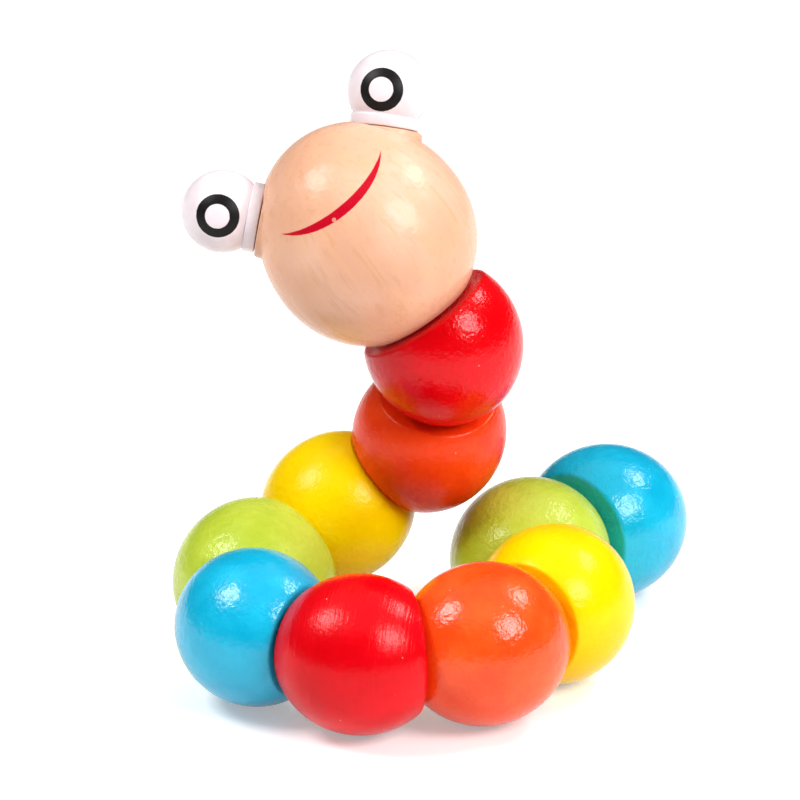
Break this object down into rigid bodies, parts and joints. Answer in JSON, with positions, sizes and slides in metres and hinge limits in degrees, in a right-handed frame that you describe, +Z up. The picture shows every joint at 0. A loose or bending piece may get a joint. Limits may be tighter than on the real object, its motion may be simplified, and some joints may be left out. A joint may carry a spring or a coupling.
{
  "type": "wooden twist inchworm",
  "caption": "Twisting wooden worm: a chain of painted, wedge-cut ball beads and a plain wood ball head with white ball eyes, joined by friction swivels that let it curl and hold a pose.",
  "frame": {"origin": "middle of the bounding box, on the table that the worm stands on", "axes": "+Z up; the face looks along -Y, with the face's left eye towards -X"},
  "size_m": [0.0918, 0.0896, 0.1069],
  "materials": {
    "natural_wood": "clear gloss lacquer",
    "white_lacquer": "gloss paint",
    "dowel_wood": "bare",
    "red_paint": "gloss paint",
    "orange_paint": "gloss paint",
    "yellow_paint": "gloss paint",
    "green_paint": "gloss paint",
    "blue_paint": "gloss paint",
    "pin_steel": "plain",
    "bush_plastic": "plain"
  },
  "bodies": {
    "head": {"head": "natural_wood", "eye_left": "white_lacquer", "eye_right": "white_lacquer", "eye_dowel_left": "dowel_wood", "eye_dowel_right": "dowel_wood", "swivel_bush_1": "bush_plastic"},
    "bead_1": {"bead_1_red": "red_paint", "swivel_pin_1": "pin_steel", "swivel_bush_2": "bush_plastic"},
    "bead_2": {"bead_2_orange": "orange_paint", "swivel_pin_2": "pin_steel", "swivel_bush_3": "bush_plastic"},
    "bead_3": {"bead_3_yellow": "yellow_paint", "swivel_pin_3": "pin_steel", "swivel_bush_4": "bush_plastic"},
    "bead_4": {"bead_4_green": "green_paint", "swivel_pin_4": "pin_steel", "swivel_bush_5": "bush_plastic"},
    "bead_5": {"bead_5_blue": "blue_paint", "swivel_pin_5": "pin_steel", "swivel_bush_6": "bush_plastic"},
    "bead_6": {"bead_6_red": "red_paint", "swivel_pin_6": "pin_steel", "swivel_bush_7": "bush_plastic"},
    "bead_7": {"bead_7_orange": "orange_paint", "swivel_pin_7": "pin_steel", "swivel_bush_8": "bush_plastic"},
    "bead_8": {"bead_8_yellow": "yellow_paint", "swivel_pin_8": "pin_steel", "swivel_bush_9": "bush_plastic"},
    "bead_9": {"bead_9_green": "green_paint", "swivel_pin_9": "pin_steel", "swivel_bush_10": "bush_plastic"},
    "bead_10": {"bead_10_blue": "blue_paint", "swivel_pin_10": "pin_steel"}
  },
  "joints": [
    {"name": "twist_1", "type": "hinge", "parent": "bead_1", "child": "head", "pos_m": [-0.00217, 0.00783, 0.06284], "axis": [-0.5622, 0.0487, 0.8256], "continuous": true},
    {"name": "twist_2", "type": "hinge", "parent": "bead_2", "child": "bead_1", "pos_m": [0.0003, 0.0122, 0.04561], "axis": [0.1078, -0.3732, 0.9215], "continuous": true},
    {"name": "twist_3", "type": "hinge", "parent": "bead_3", "child": "bead_2", "pos_m": [-0.00882, 0.01674, 0.02959], "axis": [0.7368, -0.0937, 0.6696], "range_deg": [-120, 80]},
    {"name": "twist_4", "type": "hinge", "parent": "bead_4", "child": "bead_3", "pos_m": [-0.0243, 0.01065, 0.01823], "axis": [0.6701, 0.6479, 0.3623], "range_deg": [-90, 0]},
    {"name": "twist_5", "type": "hinge", "parent": "bead_4", "child": "bead_5", "pos_m": [-0.03148, -0.00748, 0.01425], "axis": [-0.0175, 0.9998, 0], "range_deg": [0, 180]},
    {"name": "twist_6", "type": "hinge", "parent": "bead_5", "child": "bead_6", "pos_m": [-0.02266, -0.02429, 0.01425], "axis": [-0.829, 0.5592, 0], "range_deg": [0, 180]},
    {"name": "twist_7", "type": "hinge", "parent": "bead_6", "child": "bead_7", "pos_m": [-0.00366, -0.02879, 0.01425], "axis": [-0.9781, -0.2079, 0], "range_deg": [0, 180]},
    {"name": "twist_8", "type": "hinge", "parent": "bead_7", "child": "bead_8", "pos_m": [0.01547, -0.01621, 0.01425], "axis": [-0.5736, -0.8192, 0], "range_deg": [0, 180]},
    {"name": "twist_9", "type": "hinge", "parent": "bead_8", "child": "bead_9", "pos_m": [0.01918, 0.00265, 0.01425], "axis": [0.1736, -0.9848, 0], "range_deg": [0, 50]},
    {"name": "twist_10", "type": "hinge", "parent": "bead_9", "child": "bead_10", "pos_m": [0.02551, 0.02366, 0.01425], "axis": [-0.6293, -0.7771, 0], "continuous": true}
  ]
}
